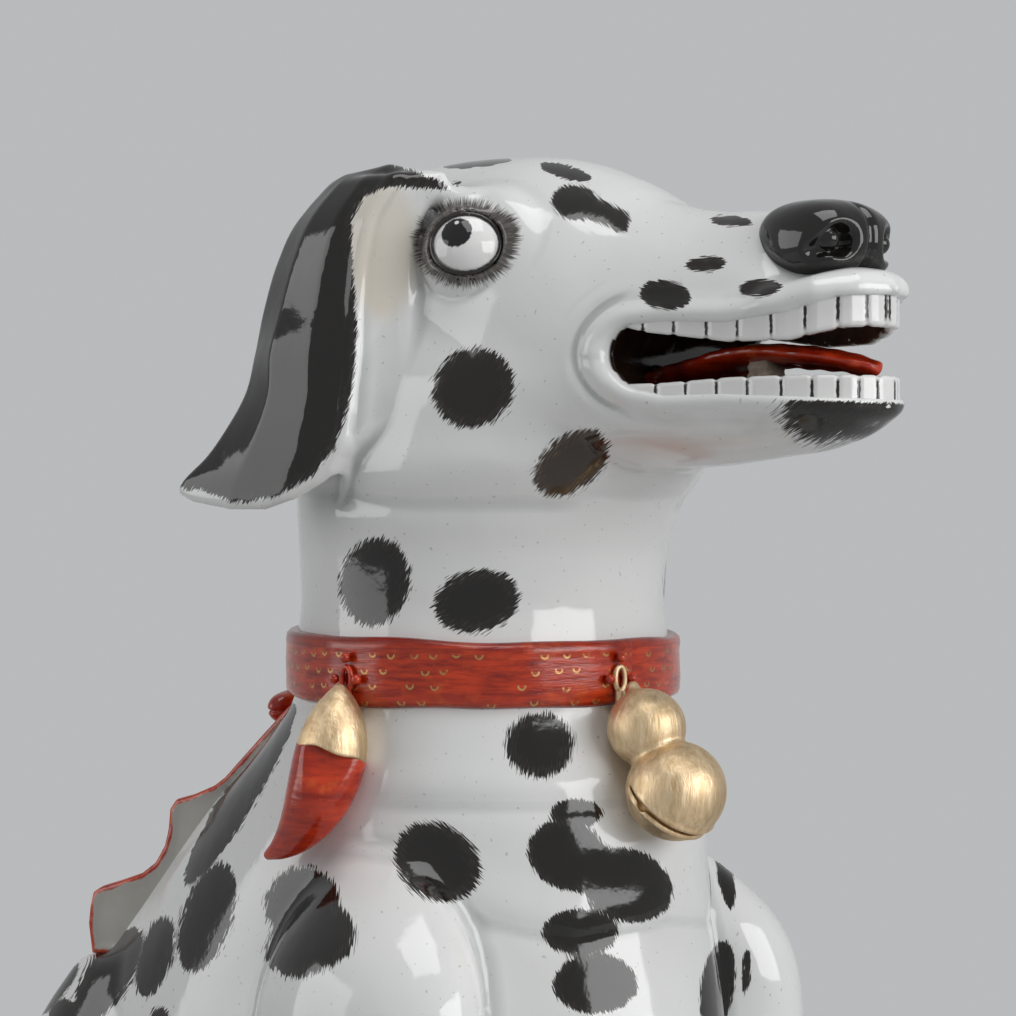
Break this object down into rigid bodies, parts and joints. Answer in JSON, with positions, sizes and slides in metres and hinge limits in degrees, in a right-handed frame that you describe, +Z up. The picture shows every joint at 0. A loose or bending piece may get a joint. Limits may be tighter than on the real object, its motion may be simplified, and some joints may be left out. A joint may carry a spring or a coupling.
{
  "type": "seated porcelain hound figure",
  "caption": "Large seated porcelain hound with head raised, open mouth with bared teeth, hanging ears, painted fur spots, and a red collar with gourd bell and pepper charms",
  "frame": {"origin": "centre of the flat resting face, below the middle of the figure, on the ground", "axes": "+Z up, the hound faces -Y, its own left side is +X"},
  "size_m": [0.2462, 0.4307, 0.5801],
  "materials": {
    "glazed_body": "glossy clear glaze over white porcelain with painted black fur spots",
    "tooth_glaze": "glossy white glaze with fine painted black lines",
    "black_glaze": "glossy black enamel",
    "red_enamel": "glossy streaky iron-red enamel",
    "gilding": "brushed matte gilding over porcelain",
    "bare_clay": "unglazed matte clay, partly splashed with glaze"
  },
  "bodies": {
    "root": {"torso": "glazed_body", "left_foreleg": "glazed_body", "right_foreleg": "glazed_body", "left_haunch": "glazed_body", "right_haunch": "glazed_body", "left_hind_paw": "glazed_body", "right_hind_paw": "glazed_body", "tail": "glazed_body", "head_shell": "glazed_body", "lower_jaw": "glazed_body", "upper_teeth": "tooth_glaze", "lower_teeth": "tooth_glaze", "left_eyeball": "tooth_glaze", "right_eyeball": "tooth_glaze", "left_eyelid_rim": "black_glaze", "right_eyelid_rim": "black_glaze", "left_ear": "black_glaze", "right_ear": "black_glaze", "nose_pad": "black_glaze", "tongue": "red_enamel", "tongue_prop": "bare_clay", "collar_band": "red_enamel", "lug_beads": "red_enamel", "front_charm_loop": "gilding", "left_charm_loop": "red_enamel", "right_charm_loop": "red_enamel", "gourd_bell": "gilding", "left_pepper_cap": "gilding", "right_pepper_cap": "gilding", "left_pepper": "red_enamel", "right_pepper": "red_enamel", "ribbon_knot": "red_enamel", "left_ribbon_tail": "red_enamel", "right_ribbon_tail": "red_enamel"}
  },
  "joints": []
}
